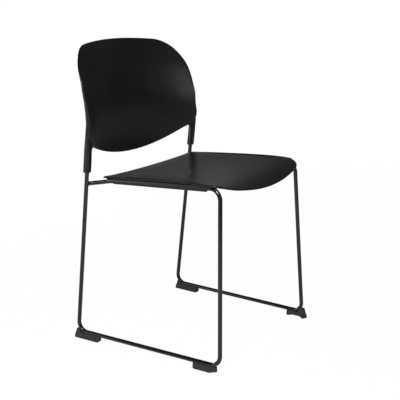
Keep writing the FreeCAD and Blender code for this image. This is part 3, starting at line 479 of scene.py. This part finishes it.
def arch_under(mesh, heel):
    """In edit mode, lifts the lower inner edge of a glide along a short way by its heel."""
    for place in GLIDE_ARCH:
        cut((0, heel - place, 0), (0, 1, 0))
    select_edges(mesh, lambda first, second: (
        max(first.z, second.z) < TOUCH and max(first.x, second.x) < -TOUCH
        and min(first.y, second.y) > heel - GLIDE_ARCH[1] - TOUCH
        and max(first.y, second.y) < heel - GLIDE_ARCH[0] + TOUCH
    ))
    bpy.ops.transform.translate(value=(0, 0, GLIDE_ARCH_HEIGHT))


def glide(node, corner, other, side):
    """A floor glide under the runner. Where it has a heel, that stands up behind the bend."""
    heel, toe, slant, heel_top = GLIDES[node]
    bpy.ops.object.select_all(action="DESELECT")
    bpy.ops.mesh.primitive_cube_add(size=1.0)
    piece = bpy.context.object
    piece.name = node + "_shown"
    mesh = piece.data
    bpy.ops.object.mode_set(mode="EDIT")
    bpy.ops.transform.resize(value=(GLIDE_HALF_WIDTH * 2, heel - toe, GLIDE_SIDE_TOP))
    bpy.ops.transform.translate(value=(0, (heel + toe) / 2, GLIDE_SIDE_TOP / 2))
    select_faces(mesh, lambda middle, normal: normal.z > BLOCK_TOP)
    extrude(GLIDE_WALL_TOP - GLIDE_SIDE_TOP)
    bpy.ops.transform.resize(value=(GLIDE_TOP_HALF_WIDTH / GLIDE_HALF_WIDTH, 1, 1))
    if heel_top:
        raise_heel(mesh, heel, heel_top)
    if slant:
        slant_heel(mesh, heel, slant)
    if heel_top and slant:
        arch_under(mesh, heel)
    select_edges(mesh, lambda first, second: (
        max(first.z, second.z) < TOUCH and max(first.y, second.y) < toe + TOUCH
    ))
    bpy.ops.mesh.bevel(offset=GLIDE_TOE_ROUND, segments=GLIDE_ROUND_STEPS)
    bpy.ops.object.mode_set(mode="OBJECT")
    soften = piece.modifiers.new("soften", "BEVEL")
    soften.width = GLIDE_EDGE_ROUND
    soften.segments = GLIDE_ROUND_STEPS
    soften.limit_method = "ANGLE"
    soften.angle_limit = math.radians(GLIDE_EDGE_ANGLE)
    bpy.ops.object.modifier_apply(modifier=soften.name)
    outward = (corner - other).normalized()
    across = Vector((0, 0, 1)).cross(outward)
    if across.x < 0:
        across = -across
    placement = Matrix((
        (across.x, outward.x, 0, corner.x),
        (across.y, outward.y, 0, corner.y),
        (0, 0, 1, 0),
        (0, 0, 0, 1),
    ))
    settle(piece, glide_plastic, Matrix.Diagonal((side, 1, 1, 1)) @ placement)
    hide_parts(node)


# The chair

shown = {
    node: merged_copy(node, finish_of(node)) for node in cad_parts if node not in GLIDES
}
for _, side in SIDES:
    for node, beginning, heights, move, reach in PULLS:
        pull(shown[node], side, beginning, heights, move, reach)

for side_name, side in SIDES:
    edge_groove(shown["seat_shell"], side)
    channel_flank(side_name, side)
    glide("foot_front_" + side_name, FRONT_CORNER, REAR_CORNER, side)
    glide("foot_rear_" + side_name, REAR_CORNER, FRONT_CORNER, side)


# Stage: one white sheet for floor and background, lamps and camera

def studio_floor():
    """A wide white floor: the camera sees it nearly white by the chair, and white far away."""
    bpy.ops.object.select_all(action="DESELECT")
    bpy.ops.mesh.primitive_plane_add(size=FLOOR_SIZE, location=(0, 0, 0))
    floor = bpy.context.object
    floor.name = "studio_floor"
    material = bpy.data.materials.new("studio_white")
    material.use_nodes = True
    tree = material.node_tree
    shader = tree.nodes["Principled BSDF"]
    shader.inputs["Base Color"].default_value = FLOOR_GREY
    shader.inputs["Roughness"].default_value = FLOOR_ROUGHNESS
    place = tree.nodes.new("ShaderNodeTexCoord")
    away = add_node(tree, "ShaderNodeVectorMath", operation="LENGTH")
    share = tree.nodes.new("ShaderNodeMapRange")
    share.inputs["From Min"].default_value = SHADOW_REACH[0]
    share.inputs["From Max"].default_value = SHADOW_REACH[1]
    share.inputs["To Min"].default_value = FLOOR_WHITE
    path = tree.nodes.new("ShaderNodeLightPath")
    seen = add_node(tree, "ShaderNodeMath", operation="MULTIPLY")
    white = add_node(tree, "ShaderNodeEmission", Strength=1.0)
    mix = tree.nodes.new("ShaderNodeMixShader")
    join(
        tree,
        (place, "Object", away, 0),
        (away, "Value", share, "Value"),
        (share, "Result", seen, 0),
        (path, "Is Camera Ray", seen, 1),
        (seen, "Value", mix, "Fac"),
        (shader, "BSDF", mix, 1),
        (white, "Emission", mix, 2),
        (mix, "Shader", tree.nodes["Material Output"], "Surface"),
    )
    floor.data.materials.append(material)


def studio_world():
    """White to the camera, and a soft light on the chair, the same from all sides."""
    world = bpy.data.worlds.new("studio_world")
    bpy.context.scene.world = world
    world.use_nodes = True
    tree = world.node_tree
    background = tree.nodes["Background"]
    background.inputs["Color"].default_value = (1.0, 1.0, 1.0, 1.0)
    path = tree.nodes.new("ShaderNodeLightPath")
    strength = add_node(tree, "ShaderNodeMath", operation="MAXIMUM")
    strength.inputs[0].default_value = SKY_STRENGTH
    join(
        tree,
        (path, "Is Camera Ray", strength, 1),
        (strength, "Value", background, "Strength"),
    )


def soft_lamp(name, place, target_height, size, power):
    """A square lamp that faces a point above the middle of the floor."""
    data = bpy.data.lights.new(name, "AREA")
    data.shape = "SQUARE"
    data.size = size
    data.energy = power
    lamp = bpy.data.objects.new(name, data)
    bpy.context.scene.collection.objects.link(lamp)
    lamp.location = place
    aim = Vector((0, 0, target_height)) - Vector(place)
    lamp.rotation_euler = aim.to_track_quat("-Z", "Y").to_euler()


def photo_camera():
    """The camera, where the photograph was taken from."""
    data = bpy.data.cameras.new("photo_camera")
    data.lens = CAMERA_LENS
    data.sensor_width = CAMERA_SENSOR
    camera = bpy.data.objects.new("photo_camera", data)
    bpy.context.scene.collection.objects.link(camera)
    turn = Matrix.Rotation(math.radians(CAMERA_YAW), 4, "Z")
    tilt = Matrix.Rotation(math.radians(90 + CAMERA_PITCH), 4, "X")
    roll = Matrix.Rotation(math.radians(CAMERA_ROLL), 4, "Z")
    camera.matrix_world = Matrix.Translation(CAMERA_PLACE) @ turn @ tilt @ roll
    bpy.context.scene.camera = camera


studio_floor()
studio_world()
for lamp in LAMPS:
    soft_lamp(*lamp)
photo_camera()
bpy.context.scene.view_settings.view_transform = "Standard"
